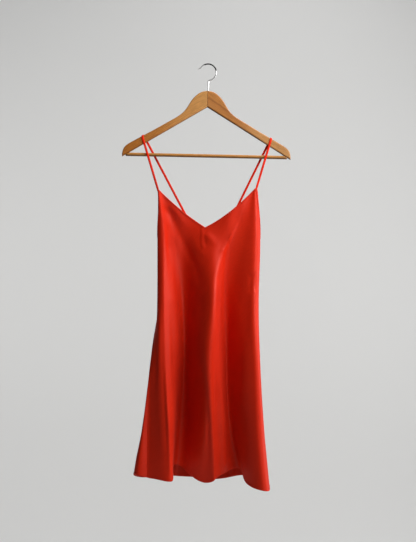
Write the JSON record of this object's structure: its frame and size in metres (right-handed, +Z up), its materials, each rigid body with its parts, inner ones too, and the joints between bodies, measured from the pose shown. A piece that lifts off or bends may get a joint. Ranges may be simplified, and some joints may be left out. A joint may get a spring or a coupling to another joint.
{
  "type": "slip dress on a wooden hanger",
  "caption": "Knee-length V-neck satin slip dress with thin shoulder straps and a softly fluted hem, hanging from a wooden hanger with a trouser bar and a wire hook.",
  "frame": {"origin": "inside top of the hook, where a rail or peg carries the hanger", "axes": "+Z up; +X to the right of someone who faces the front of the dress; +Y away from them, from front to back"},
  "size_m": [0.4459, 0.2046, 1.1166],
  "materials": {
    "satin": "glossy satin weave, red",
    "hanger_wood": "clear satin lacquer over warm brown wood",
    "hook_steel": "bright chromium plating"
  },
  "bodies": {
    "root": {"front_panel": "satin", "back_panel": "satin", "neck_binding_left": "satin", "neck_binding_right": "satin", "back_neck_binding": "satin", "armhole_binding_left": "satin", "armhole_binding_right": "satin", "strap_left": "satin", "strap_right": "satin", "hanger_arm_left": "hanger_wood", "hanger_arm_right": "hanger_wood", "trouser_bar": "hanger_wood", "hook": "hook_steel"}
  },
  "joints": []
}
